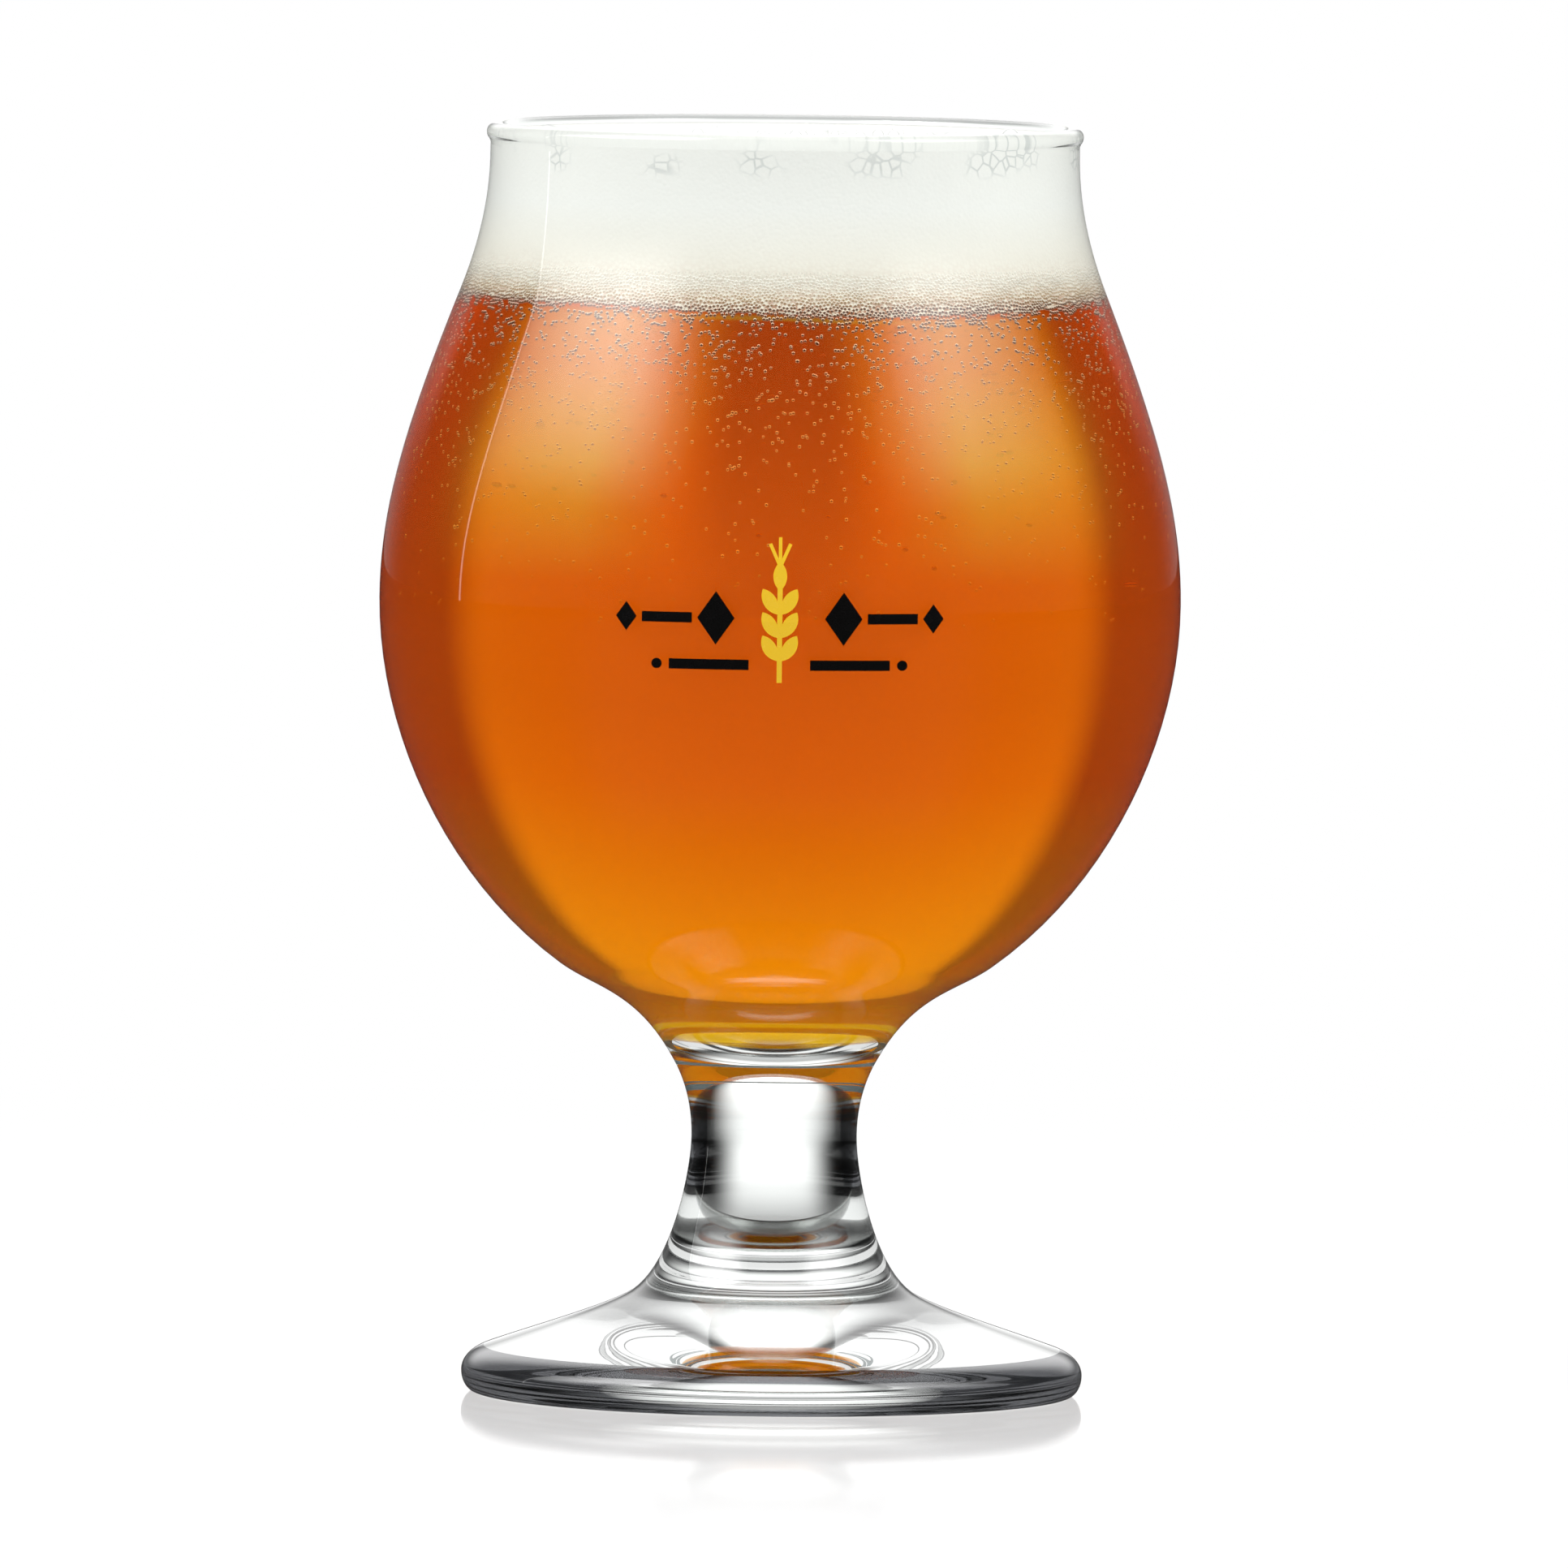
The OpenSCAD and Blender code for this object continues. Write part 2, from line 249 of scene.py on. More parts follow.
amberBeer, tree = newMaterial("amberBeer")
place = addNode(tree, "ShaderNodeTexCoord")
parts = addNode(tree, "ShaderNodeSeparateXYZ", {}, {0: place.outputs["Object"]})
# Haze colour by height: lit by the lamps, and its yellower colour low down is painted light
tint = overHeight(tree, [(z, hexColour(colour)) for z, colour in beerLook["hazes"]])
# Painted golden glow, by slant, height and place in front
away = addNode(tree, "ShaderNodeLayerWeight")
paintedGlowBySlant = addNode(tree, "ShaderNodeValToRGB", {}, {0: away.outputs["Facing"]},
                   [(share, grey(gold)) for share, gold in beerLook["paintedGlowFacing"]])
upper = overHeight(tree, [(z, grey(gold)) for z, gold in beerLook["paintedGlowHeights"]])
atFront = addNode(tree, "ShaderNodeMapRange", between(beerLook["paintedGlowFront"], unit=mm), {"Value": parts.outputs["Y"]})
gold = addNode(tree, "ShaderNodeMath", {"operation": "MULTIPLY"}, {0: paintedGlowBySlant.outputs[0], 1: upper.outputs[0]})
gold = addNode(tree, "ShaderNodeMath", {"operation": "MULTIPLY"}, {0: gold.outputs[0], 1: atFront.outputs[0]})
tint = addNode(tree, "ShaderNodeMix", {"data_type": "RGBA", 7: hexColour(beerLook["gold"])},
               {0: gold.outputs[0], 6: tint.outputs[0]})
clear = addNode(tree, "ShaderNodeBsdfTransparent")
lit = addNode(tree, "ShaderNodeBsdfDiffuse", {}, {"Color": tint.outputs[2]})
through = addNode(tree, "ShaderNodeBsdfTranslucent", {"Color": hexColour(beerLook["backHaze"])})
haze = addNode(tree, "ShaderNodeMixShader", {0: beerLook["backShare"]}, {1: lit.outputs[0], 2: through.outputs[0]})
surface = addNode(tree, "ShaderNodeMixShader", {0: beerLook["haze"]}, {1: clear.outputs[0], 2: haze.outputs[0]})
strongest = max(beerLook["absorbs"])
depth = addNode(tree, "ShaderNodeVolumeAbsorption",
                {"Color": tuple(1 - a / strongest for a in beerLook["absorbs"]) + (1.0,), "Density": strongest})
addNode(tree, "ShaderNodeOutputMaterial", {}, {"Surface": surface.outputs[0], "Volume": depth.outputs[0]})

# Froth: countless tiny bubbles, so matt and almost white, coarser and creamier down at the beer, where the
# gaps between them show it. cell is the real bubble size in millimetres. In patches along the top the bubbles
# are large, with thin outlines
foamLook = {"top": "EFEFEB", "low": "E8E0CE", "gap": "9A5514", "levels": (140.2, 128.2), "cell": 0.46,
            "gapPower": 5.0, "gaps": (0.3, 0.7), "bump": 0.4, "bumpHeight": 0.1, "roughness": 0.6, "ior": 1.33,
            "large": 1.5, "largeFrom": (143.4, 145.0), "largeEdge": "CBCECC", "largeShare": 0.8,
            "outline": (0.03, 0.11), "patch": 9.0, "patchFrom": (0.5, 0.64)}

beerFroth, tree = newMaterial("beerFroth")
place = addNode(tree, "ShaderNodeTexCoord")
parts = addNode(tree, "ShaderNodeSeparateXYZ", {}, {0: place.outputs["Object"]})
height = addNode(tree, "ShaderNodeMapRange", between(foamLook["levels"], unit=mm, eased=False),
                 {"Value": parts.outputs["Z"]})
cells = addNode(tree, "ShaderNodeTexVoronoi", {"feature": "F1", "Scale": 1 / (foamLook["cell"] * mm)},
                {"Vector": place.outputs["Object"]})
nearBeer = addNode(tree, "ShaderNodeMath", {"operation": "POWER", 1: foamLook["gapPower"]}, {0: height.outputs[0]})
rim = addNode(tree, "ShaderNodeMapRange", between(foamLook["gaps"], eased=False),
              {"Value": cells.outputs["Distance"]})
gaps = addNode(tree, "ShaderNodeMath", {"operation": "MULTIPLY"}, {0: rim.outputs[0], 1: nearBeer.outputs[0]})
cream = addNode(tree, "ShaderNodeMix",
                {"data_type": "RGBA", 6: hexColour(foamLook["top"]), 7: hexColour(foamLook["low"])},
                {0: height.outputs[0]})
coloured = addNode(tree, "ShaderNodeMix", {"data_type": "RGBA", 7: hexColour(foamLook["gap"])},
                   {0: gaps.outputs[0], 6: cream.outputs[2]})
large = addNode(tree, "ShaderNodeTexVoronoi",
                {"feature": "DISTANCE_TO_EDGE", "Scale": 1 / (foamLook["large"] * mm)},
                {"Vector": place.outputs["Object"]})
outline = addNode(tree, "ShaderNodeMapRange", between(foamLook["outline"], foamLook["largeShare"], 0.0),
                  {"Value": large.outputs["Distance"]})
upper = addNode(tree, "ShaderNodeMapRange", between(foamLook["largeFrom"], unit=mm), {"Value": parts.outputs["Z"]})
patches = addNode(tree, "ShaderNodeTexNoise", {"Scale": 1 / (foamLook["patch"] * mm), "Detail": 1.0},
                  {"Vector": place.outputs["Object"]})
patch = addNode(tree, "ShaderNodeMapRange", between(foamLook["patchFrom"], eased=False),
                {"Value": patches.outputs[0]})
shown = addNode(tree, "ShaderNodeMath", {"operation": "MULTIPLY"}, {0: outline.outputs[0], 1: upper.outputs[0]})
shown = addNode(tree, "ShaderNodeMath", {"operation": "MULTIPLY"}, {0: shown.outputs[0], 1: patch.outputs[0]})
coloured = addNode(tree, "ShaderNodeMix", {"data_type": "RGBA", 7: hexColour(foamLook["largeEdge"])},
                   {0: shown.outputs[0], 6: coloured.outputs[2]})
bump = addNode(tree, "ShaderNodeBump", {"Strength": foamLook["bump"], "Distance": foamLook["bumpHeight"] * mm,
               "invert": True}, {"Height": cells.outputs["Distance"]})
body = addNode(tree, "ShaderNodeBsdfPrincipled", {"Roughness": foamLook["roughness"], "IOR": foamLook["ior"]},
               {"Base Color": coloured.outputs[2], "Normal": bump.outputs[0]})
addNode(tree, "ShaderNodeOutputMaterial", {}, {"Surface": body.outputs[0]})

# Fired enamel: glassy and a little uneven, as a screen print comes out of the kiln. patch is the size of what
# is uneven, in millimetres
enamelLook = {"gold": "EABE1F", "black": "080707", "patch": 1.2, "roughness": (0.18, 0.34), "ior": 1.5}


def makeEnamel(name, colour):
    material, tree = newMaterial(name)
    place = addNode(tree, "ShaderNodeTexCoord")
    patches = addNode(tree, "ShaderNodeTexNoise", {"Scale": 1 / (enamelLook["patch"] * mm), "Detail": 3.0},
                      {"Vector": place.outputs["Object"]})
    shine = addNode(tree, "ShaderNodeMapRange", between((0, 1), *enamelLook["roughness"], eased=False),
                    {"Value": patches.outputs[0]})
    body = addNode(tree, "ShaderNodeBsdfPrincipled", {"Base Color": hexColour(colour), "IOR": enamelLook["ior"]},
                   {"Roughness": shine.outputs[0]})
    addNode(tree, "ShaderNodeOutputMaterial", {}, {"Surface": body.outputs[0]})
    return material


goldEnamel = makeEnamel("goldEnamel", enamelLook["gold"])
blackEnamel = makeEnamel("blackEnamel", enamelLook["black"])
print("materials made")


# The glass's outline, in millimetres as (radius, height), from the same sizes as the CAD model
glassShape = {"belly": (47.0, 93.1), "neck": 34.55, "rim": 149.0, "wall": 1.8, "beadOut": 0.45,
              "floor": 1.8, "floorReach": 0.36, "seat": (12.0, 39.3), "waist": (9.7, 30.2), "flare": (17.3, 11.4),
              "foot": 36.45, "edgeHeight": 5.3, "edgeWidth": 2.6, "widestShare": 0.45,
              "ring": 34.9, "ringWidth": 3.2, "hollow": 1.6, "around": 192, "steps": 20, "beadSteps": 29}
# The curves between its points, as shares of the way from one to the other, across and up
glassCurves = {"fillet": [(0, 0), (0.126, 0.147), (0.271, 0.154), (0.385, 0.208)],
               "lower": [(0.385, 0.208), (0.78, 0.394), (1, 0.716), (1, 1)],
               "upper": [(0, 0), (0, 0.199), (0.239, 0.387), (0.738, 0.681)],
               "mouth": [(0.738, 0.681), (1, 0.837), (1, 0.94), (1, 1)],
               "under": [(0, 0), (0.12, 0.6), (0.45, 1), (1, 1)],
               "edge": [(0, 0), (0, 0.55), (0.45, 1), (1, 1)],
               "overEdge": [(0, 0), (0.6, 0.2), (1, 0.55), (1, 1)],
               "slope": [(0, 0), (0.25, 0.34), (0.685, 0.69), (1, 1)],
               "flare": [(0, 0), (0, 0.222), (0.3, 0.87), (1, 1)],
               "cup": [(0, 0), (0, 0.43), (0.435, 0.754), (1, 1)]}
# The drink in it: heights in millimetres. Between roomFrom and roomTo it leaves bubbleRoom at the wall, which
# opens and closes over the two heights of roomFade. waves are (height, how many around, start) and die away
# over waveReach. They leave alone what is closer than axis to the middle, and keep what is atWall at the wall.
# across is where a flat side has rings. The foam's wall has two runs of foamRings, from its border and up to
# underTop below its edge, which part at the heights of foamSplit above roomTo
drinkShape = {"border": 128.2, "foamTop": 148.1, "mound": 0.72, "dip": 1.0, "gap": 0.03, "bubbleRoom": 0.5,
              "roomFrom": 96.0, "roomTo": 133.0, "roomFade": (8, 2.5),
              "waves": ((0.28, 2, 0.6), (0.2, 3, 2.1), (0.09, 11, 0)), "waveReach": 4, "axis": 0.01, "atWall": 0.999,
              "across": (0.9, 0.7, 0.4, 0), "beerRings": 34, "foamRings": (13, 16), "foamSplit": (0.5, 1.3),
              "underTop": 0.6, "topRings": 30}


def curve(name, start, end):
    corners = [Vector((start[0] + u * (end[0] - start[0]), start[1] + v * (end[1] - start[1])))
               for u, v in glassCurves[name]]
    return list(geometry.interpolate_bezier(*corners, glassShape["steps"] + 1))


# The same line a distance to its left
def beside(points, distance):
    moved = []
    for i, point in enumerate(points):
        along = (points[min(i + 1, len(points) - 1)] - points[max(i - 1, 0)]).normalized()
        moved.append(point + distance * Vector((-along.y, along.x)))
    return moved


beadRadius = (glassShape["wall"] + glassShape["beadOut"]) / 2
beadCentre = Vector((glassShape["neck"] - glassShape["wall"] + beadRadius, glassShape["rim"] - beadRadius))
seat, belly = glassShape["seat"], glassShape["belly"]
neck = (glassShape["neck"], glassShape["rim"] - 2 * beadRadius)
fillet = curve("fillet", seat, belly)
wall = curve("lower", seat, belly) + curve("upper", belly, neck)[1:] + curve("mouth", belly, neck)[1:]


# The cavity's outline from the middle of its floor to the neck, or the same one closer to the axis
def cavity(gap=0.0):
    inner = beside(wall, glassShape["wall"] + gap)
    low = Vector((0, seat[1] + glassShape["floor"] + gap))
    along = (inner[1] - inner[0]).normalized()
    reach = glassShape["floorReach"] * inner[0].x
    floor = geometry.interpolate_bezier(low, low + Vector((reach, 0)), inner[0] - reach * along, inner[0],
                                        glassShape["steps"] + 1)
    return [Vector(p[:2]) for p in floor] + inner[1:]


def radiusAt(points, height):
    return float(np.interp(height, [p[1] for p in points], [p[0] for p in points]))


def smooth(value, low, high):
    share = min(1.0, max(0.0, (value - low) / (high - low)))
    return share * share * (3 - 2 * share)


# The drink's radius at a height: close to the wall, and a little clear of it where bubbles cling
def drinkRadius(height):
    opens, closes = drinkShape["roomFade"]
    room = smooth(height, drinkShape["roomFrom"], drinkShape["roomFrom"] + opens) \
        * smooth(-height, -drinkShape["roomTo"], closes - drinkShape["roomTo"])
    return radiusAt(drinkWall, height) - drinkShape["bubbleRoom"] * room


# The froth's surface: a low mound in the middle, a dip around it, and up again at the wall
def foamSurface(share):
    rest = 1 - share * share
    return drinkShape["foamTop"] + drinkShape["mound"] * rest ** 2 - 4 * drinkShape["dip"] * share ** 2 * rest


# A closed body turned about the glass's axis from an outline
def turned(outline):
    bm = bmesh.new()
    corners = [bm.verts.new((p[0] * mm, 0, p[1] * mm)) for p in outline]
    edges = [bm.edges.new(pair) for pair in zip(corners, corners[1:])]
    bmesh.ops.spin(bm, geom=corners + edges, cent=(0, 0, 0), axis=(0, 0, 1), angle=2 * math.pi,
                   steps=glassShape["around"], use_merge=True)
    bmesh.ops.remove_doubles(bm, verts=bm.verts, dist=closeBy)
    bmesh.ops.recalc_face_normals(bm, faces=bm.faces)
    return bm


def finishPiece(name, bm, materials, nodes=()):
    for face in bm.faces:
        face.smooth = True
    mesh = bpy.data.meshes.new(name)
    bm.to_mesh(mesh)
    bm.free()
    for material in materials:
        mesh.materials.append(material)
    piece = bpy.data.objects.new(name, mesh)
    scene.collection.objects.link(piece)
    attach(piece, "root")
    if nodes:
        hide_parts(*nodes)


# The glass itself: bowl, stem and foot are one fused piece
edgeTop = (glassShape["foot"] - glassShape["edgeWidth"], glassShape["edgeHeight"])
widest = (glassShape["foot"], glassShape["edgeHeight"] * glassShape["widestShare"])
ringOut = (glassShape["ring"], 0)
ringIn = (glassShape["ring"] - glassShape["ringWidth"], 0)
under = curve("under", ringIn, (0, glassShape["hollow"]))
edge = curve("edge", widest, ringOut)
overEdge = curve("overEdge", edgeTop, widest)
slope = curve("slope", glassShape["flare"], edgeTop)
flare = curve("flare", glassShape["waist"], glassShape["flare"])
cup = curve("cup", glassShape["waist"], seat)
footAndStem = under[::-1] + edge[::-1] + overEdge[::-1][1:] + slope[::-1][1:] + flare[::-1][1:] + cup[1:]
beadStart = -math.degrees(math.acos((glassShape["wall"] - beadRadius) / beadRadius))
bead = [beadCentre + beadRadius * Vector((math.cos(math.radians(a)), math.sin(math.radians(a))))
        for a in np.linspace(beadStart, 180, glassShape["beadSteps"])]
inside = cavity()
outline = [Vector(p[:2]) for p in footAndStem + fillet[1:] + wall[1:]] + bead[1:] + inside[::-1]
bm = turned(outline)
for face in bm.faces:
    middle = face.calc_center_median() / mm
    radius = math.hypot(middle.x, middle.y)
    onInside = radius < radiusAt(inside, middle.z) + glassShape["wall"] / 2
    wet = seat[1] < middle.z < drinkShape["foamTop"] and onInside
    onEdge = radius > edgeTop[0] and middle.z < edgeTop[1]
    onStem = glassLook["stemShadeHeights"][0][0] < middle.z < glassLook["stemShadeHeights"][-1][0]
    face.material_index = 1 if wet else 2 if onEdge else 3 if onStem else 0
finishPiece("glass", bm, [clearGlass, wettedGlass, edgeGlass, stemGlass], ["bowl", "stem", "foot"])

# Where stem and bowl are fused, a thin ring in the glass stays visible
seamShape = {"radius": 11.0, "halfWidth": 0.75, "height": 39.25, "halfHeight": 0.1, "around": 12}
turns = [2 * math.pi * i / seamShape["around"] for i in range(seamShape["around"] + 1)]
ringLine = [Vector((seamShape["radius"] + seamShape["halfWidth"] * math.cos(a),
                    seamShape["height"] + seamShape["halfHeight"] * math.sin(a))) for a in turns]
finishPiece("fusedSeam", turned(ringLine), [fusedScale])
print("glass made")


# Beer and foam meet along a line that wanders a little up and down around the wall
def borderWave(angle):
    return sum(height * math.sin(count * angle + start) for height, count, start in drinkShape["waves"])


def waveBorder(bm):
    for vert in bm.verts:
        x, y, z = vert.co / mm
        radius = math.hypot(x, y)
        near = max(0.0, 1 - abs(z - drinkShape["border"]) / drinkShape["waveReach"])
        if near > 0 and radius > drinkShape["axis"]:
            share = radius / drinkRadius(z)
            z += borderWave(math.atan2(y, x)) * near * share
            if share > drinkShape["atWall"]:
                x, y = [c / radius * drinkRadius(z) for c in (x, y)]
            vert.co = Vector((x, y, z)) * mm


def upTheWall(low, high, rings):
    return [Vector((drinkRadius(z), z)) for z in np.linspace(low, high, rings)]


drinkWall = cavity(drinkShape["gap"])
border = drinkShape["border"]
outline = [p for p in drinkWall if p.y < drinkShape["roomFrom"]]
outline += upTheWall(drinkShape["roomFrom"], border, drinkShape["beerRings"])
outline += [Vector((outline[-1].x * share, border)) for share in drinkShape["across"]]
bm = turned(outline)
waveBorder(bm)
finishPiece("drink", bm, [amberBeer], ["beer"])

top = drinkShape["foamTop"]
low = border + drinkShape["gap"]
splitLow, splitHigh = [drinkShape["roomTo"] + split for split in drinkShape["foamSplit"]]
outline = [Vector((drinkRadius(low) * share, low)) for share in drinkShape["across"][::-1]]
outline += upTheWall(low, splitLow, drinkShape["foamRings"][0])
outline += upTheWall(splitHigh, top - drinkShape["underTop"], drinkShape["foamRings"][1])
outline += [Vector((drinkRadius(top) * share, foamSurface(share)))
            for share in np.linspace(1, 0, drinkShape["topRings"])]
bm = turned(outline)
waveBorder(bm)
finishPiece("foamHead", bm, [beerFroth], ["foam_head"])
print("beer and foam made")


# Small balls, one for each (place, radius) in millimetres. One ball is doubled again and again, the doubles
# that add up to the count are joined, and then each ball goes to its place
def balls(places, segments, rings):
    ball = bmesh.new()
    bmesh.ops.create_uvsphere(ball, u_segments=segments, v_segments=rings, radius=1.0)
    corners, group = len(ball.verts), bpy.data.meshes.new("group")
    ball.to_mesh(group)
    ball.free()
    bm = bmesh.new()
    for power in range(len(places).bit_length()):
        if len(places) >> power & 1:
            bm.from_mesh(group)
        twice = bmesh.new()
        twice.from_mesh(group)
        twice.from_mesh(group)
        twice.to_mesh(group)
        twice.free()
    bpy.data.meshes.remove(group)
    for i, vert in enumerate(bm.verts):
        centre, radius = places[i // corners]
        vert.co = (Vector(centre) + radius * vert.co) * mm
    return bm


# Bubbles that cling to the wall, sizes in millimetres: packed in rows below and in front of the froth, and
# loose ones that thin out downwards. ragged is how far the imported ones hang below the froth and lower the
# chance of one further down. pairs is the chance that a loose one has another by it, clear the gap between
# bubble and wall, and the faces of a ball are (around, up)
beadBubbles = {"rows": 16, "pitch": 0.45, "firstRow": -4.8, "rowStep": 0.87, "packedSize": (0.205, 0.222),
               "shift": (0.14, 0.1), "sway": (0.14, 0.09), "ragged": 0.45, "lower": 0.3, "clear": 0.015,
               "count": 3900, "highest": 0.9, "fall": 10.0, "deepest": 36.0, "looseSize": (0.15, 0.215),
               "pairs": 0.12, "pairLean": 0.9, "pairReach": 2.8, "pairRadius": 43, "seed": 5,
               "packedFaces": (6, 4), "looseFaces": (8, 4)}

random.seed(beadBubbles["seed"])
line = cavity(0)


def clingTo(angle, below, size):
    height = border - below + borderWave(angle)
    reach = radiusAt(line, height) - size - beadBubbles["clear"]
    return (reach * math.cos(angle), reach * math.sin(angle), height), size


packed = []
around = int(2 * math.pi * radiusAt(line, border) / beadBubbles["pitch"])
shiftAround, shiftUp = beadBubbles["shift"]
slowSway, quickSway = beadBubbles["sway"]
for row in range(beadBubbles["rows"]):
    for i in range(around):
        angle = 2 * math.pi * (i + 0.5 * (row % 2) + random.uniform(-shiftAround, shiftAround)) / around
        below = beadBubbles["firstRow"] + row * beadBubbles["rowStep"] * beadBubbles["pitch"] \
            + random.uniform(-shiftUp, shiftUp)
        # Uneven waves, so that neither the edge nor the rows look drawn
        wander = 1 + math.sin(17 * angle + 1) * math.sin(29 * angle) + 0.7 * math.sin(53 * angle)
        if below < beadBubbles["ragged"] * wander or random.random() < beadBubbles["lower"]:
            below += slowSway * math.sin(23 * angle + 0.5 * row) + quickSway * math.sin(67 * angle - 0.8 * row)
            packed.append(clingTo(angle, below, random.uniform(*beadBubbles["packedSize"])))
half = len(packed) // 2
for name, places in (("frothRows", packed[:half]), ("packedBubbles", packed[half:])):
    finishPiece(name, balls(places, *beadBubbles["packedFaces"]), [gasBubble])

loose = []
while len(loose) < beadBubbles["count"]:
    below = beadBubbles["highest"] + random.expovariate(1 / beadBubbles["fall"])
    angle = random.uniform(0, 2 * math.pi)
    while below < beadBubbles["deepest"]:
        size = random.uniform(*beadBubbles["looseSize"])
        loose.append(clingTo(angle, below, size))
        if random.random() > beadBubbles["pairs"]:
            break
        lean = random.uniform(-beadBubbles["pairLean"], beadBubbles["pairLean"])
        reach = beadBubbles["pairReach"] * size
        angle += random.choice((-1, 1)) * reach * math.cos(lean) / beadBubbles["pairRadius"]
        below += reach * math.sin(lean)
finishPiece("looseBubbles", balls(loose, *beadBubbles["looseFaces"]), [gasBubble])

# Larger bubbles lying on the froth, most of them on the mound and towards the front. farthest is the share of
# the froth's radius they keep to, and apart how close two may lie, as a share of their radii together
topBubbles = {"count": 90, "trials": 6000, "sizes": (0.3, 1.15), "sunk": 0.35, "spreadX": 7.5, "middleX": 2.5,
              "rangeY": (-30.0, 6.0), "farthest": 0.96, "highest": 148.94, "apart": 0.86, "faces": (20, 12)}

large = []
smallest, largest = topBubbles["sizes"]
for trial in range(topBubbles["trials"]):
    if len(large) == topBubbles["count"]:
        break
    x = random.gauss(topBubbles["middleX"], topBubbles["spreadX"])
    y = random.uniform(*topBubbles["rangeY"])
    size = smallest + (largest - smallest) * random.random() ** 2
    share = math.hypot(x, y) / drinkRadius(top)
    height = foamSurface(min(share, 1.0)) + (1 - 2 * topBubbles["sunk"]) * size
    if share > topBubbles["farthest"] or height + size > topBubbles["highest"]:
        continue
    if all(math.dist((x, y), spot[:2]) > topBubbles["apart"] * (size + other) for spot, other in large):
        large.append(((x, y, height), size))
finishPiece("topBubbles", balls(large, *topBubbles["faces"]), [frothBubble])
print("bubbles made:", len(packed), len(loose), len(large))

for name, material in (("gold_print", goldEnamel), ("black_print", blackEnamel)):
    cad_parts[name].data.materials.clear()
    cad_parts[name].data.materials.append(material)

# Studio: a white table, a white card behind the glass, a tall soft panel on each side and a dark room.
# Angles are in degrees, from straight behind the glass round to the right, or above the table, and pairs of
# them are where a change starts and ends. panels are (angle, level) pairs. Both panels face the glass from
# panelAt degrees, and their light starts at the first height of panelRise and is full at the second, for a
# panel one unit away. The lamps stand lampAngle to each side of straight in front
studio = {"tableSize": 6.0, "tableDrop": 0.1, "ambient": 0.8, "lampPower": 7.1, "lampAngle": 70.0, "lampUp": 38.0,
          "lampSize": 0.8, "lampDistance": 1.3, "lampHeight": 0.08,
          "card": (1.12, 2.1), "cardRise": (5, 40), "clearEdge": (12, 40), "drinkEdge": (27, 36.5), "room": 0.03,
          "lowShine": 0.15, "lowShineTo": (4, 14), "lowShineFrom": (3, 6),
          "backdropFrom": (72, 88), "backdrop": 1.0, "overheadFrom": (48, 62), "overhead": 1.0,
          "softAfter": (2, 4), "deep": 1.0,
          "panelAt": 127.0, "panelRise": (0.3, 0.95), "panelEnd": (1.6, 2.2), "panelPeak": 11.5,
          "panels": [(-180, 0), (-154, 0), (-149, 0.01), (-141, 0.14), (-127, 0.73), (-114, 1), (-100, 0.88),
                     (-85, 0.44), (-75, 0.2), (-74, 0), (74, 0), (85, 0.12), (100, 0.41), (114, 0.6), (127, 0.48),
                     (141, 0.077), (149, 0.006), (154, 0)],
          "lineAt": -74.5, "lineWidth": 0.8, "line": 2.4}

bm = bmesh.new()
bmesh.ops.create_grid(bm, x_segments=1, y_segments=1, size=studio["tableSize"] / 2)
bmesh.ops.translate(bm, verts=bm.verts, vec=(0, 0, -studio["tableDrop"] * mm))
mesh = bpy.data.meshes.new("table")
bm.to_mesh(mesh)
bm.free()
table = bpy.data.objects.new("table", mesh)
scene.collection.objects.link(table)

# Polished white acrylic: the camera sees it white, with a faint mirror image in front of the foot. Distances
# are in metres from the glass's axis, angles in degrees as above, and shine, steep and sidesBelow go by how
# slantwise one looks at it: 1 is along it
tableLook = {"glow": 0.74, "white": 0.25, "gloss": 0.06, "mirror": 0.42, "mirrorReach": (0.03, 0.24),
             "mirrorFrom": (40, 90), "mirrorBack": 0.15, "fadeOut": (0.15, 0.5),
             "paintedPoolUnderFoot": (0.026, 0.044), "underFrom": (60, 100), "underBack": 0.15,
             "shine": (0.5, 0.826), "least": 0.3, "stripe": (2.5, 8), "steep": (1.0, 0.7),
             "sides": (12, 38), "sideLoss": 0.88, "sidesBelow": (1.0, 0.8),
             "paper": 0.85, "paperFrom": (0.07, 0.1), "clearPaper": (110, 135), "drinkPaper": (72, 95),
             "others": (0.7, 0.03)}

polishedTable, tree = newMaterial("polishedTable")
path = addNode(tree, "ShaderNodeLightPath")
place = addNode(tree, "ShaderNodeTexCoord")
distance = addNode(tree, "ShaderNodeVectorMath", {"operation": "LENGTH"}, {0: place.outputs["Object"]})
parts = addNode(tree, "ShaderNodeSeparateXYZ", {}, {0: place.outputs["Object"]})
turn = addNode(tree, "ShaderNodeMath", {"operation": "ARCTAN2"}, {0: parts.outputs["X"], 1: parts.outputs["Y"]})
angle = addNode(tree, "ShaderNodeMath", {"operation": "ABSOLUTE"}, {0: turn.outputs[0]})
gloss = addNode(tree, "ShaderNodeBsdfGlossy", {"Color": grey(1.0), "Roughness": tableLook["gloss"]})
matt = addNode(tree, "ShaderNodeBsdfDiffuse", {"Color": grey(tableLook["white"])})
glow = addNode(tree, "ShaderNodeEmission", {"Color": grey(1.0), "Strength": tableLook["glow"]})
white = addNode(tree, "ShaderNodeAddShader", {}, {0: glow.outputs[0], 1: matt.outputs[0]})
mirror = addNode(tree, "ShaderNodeMapRange", between(tableLook["mirrorReach"], tableLook["mirror"], 0.0),
                 {"Value": distance.outputs["Value"]})
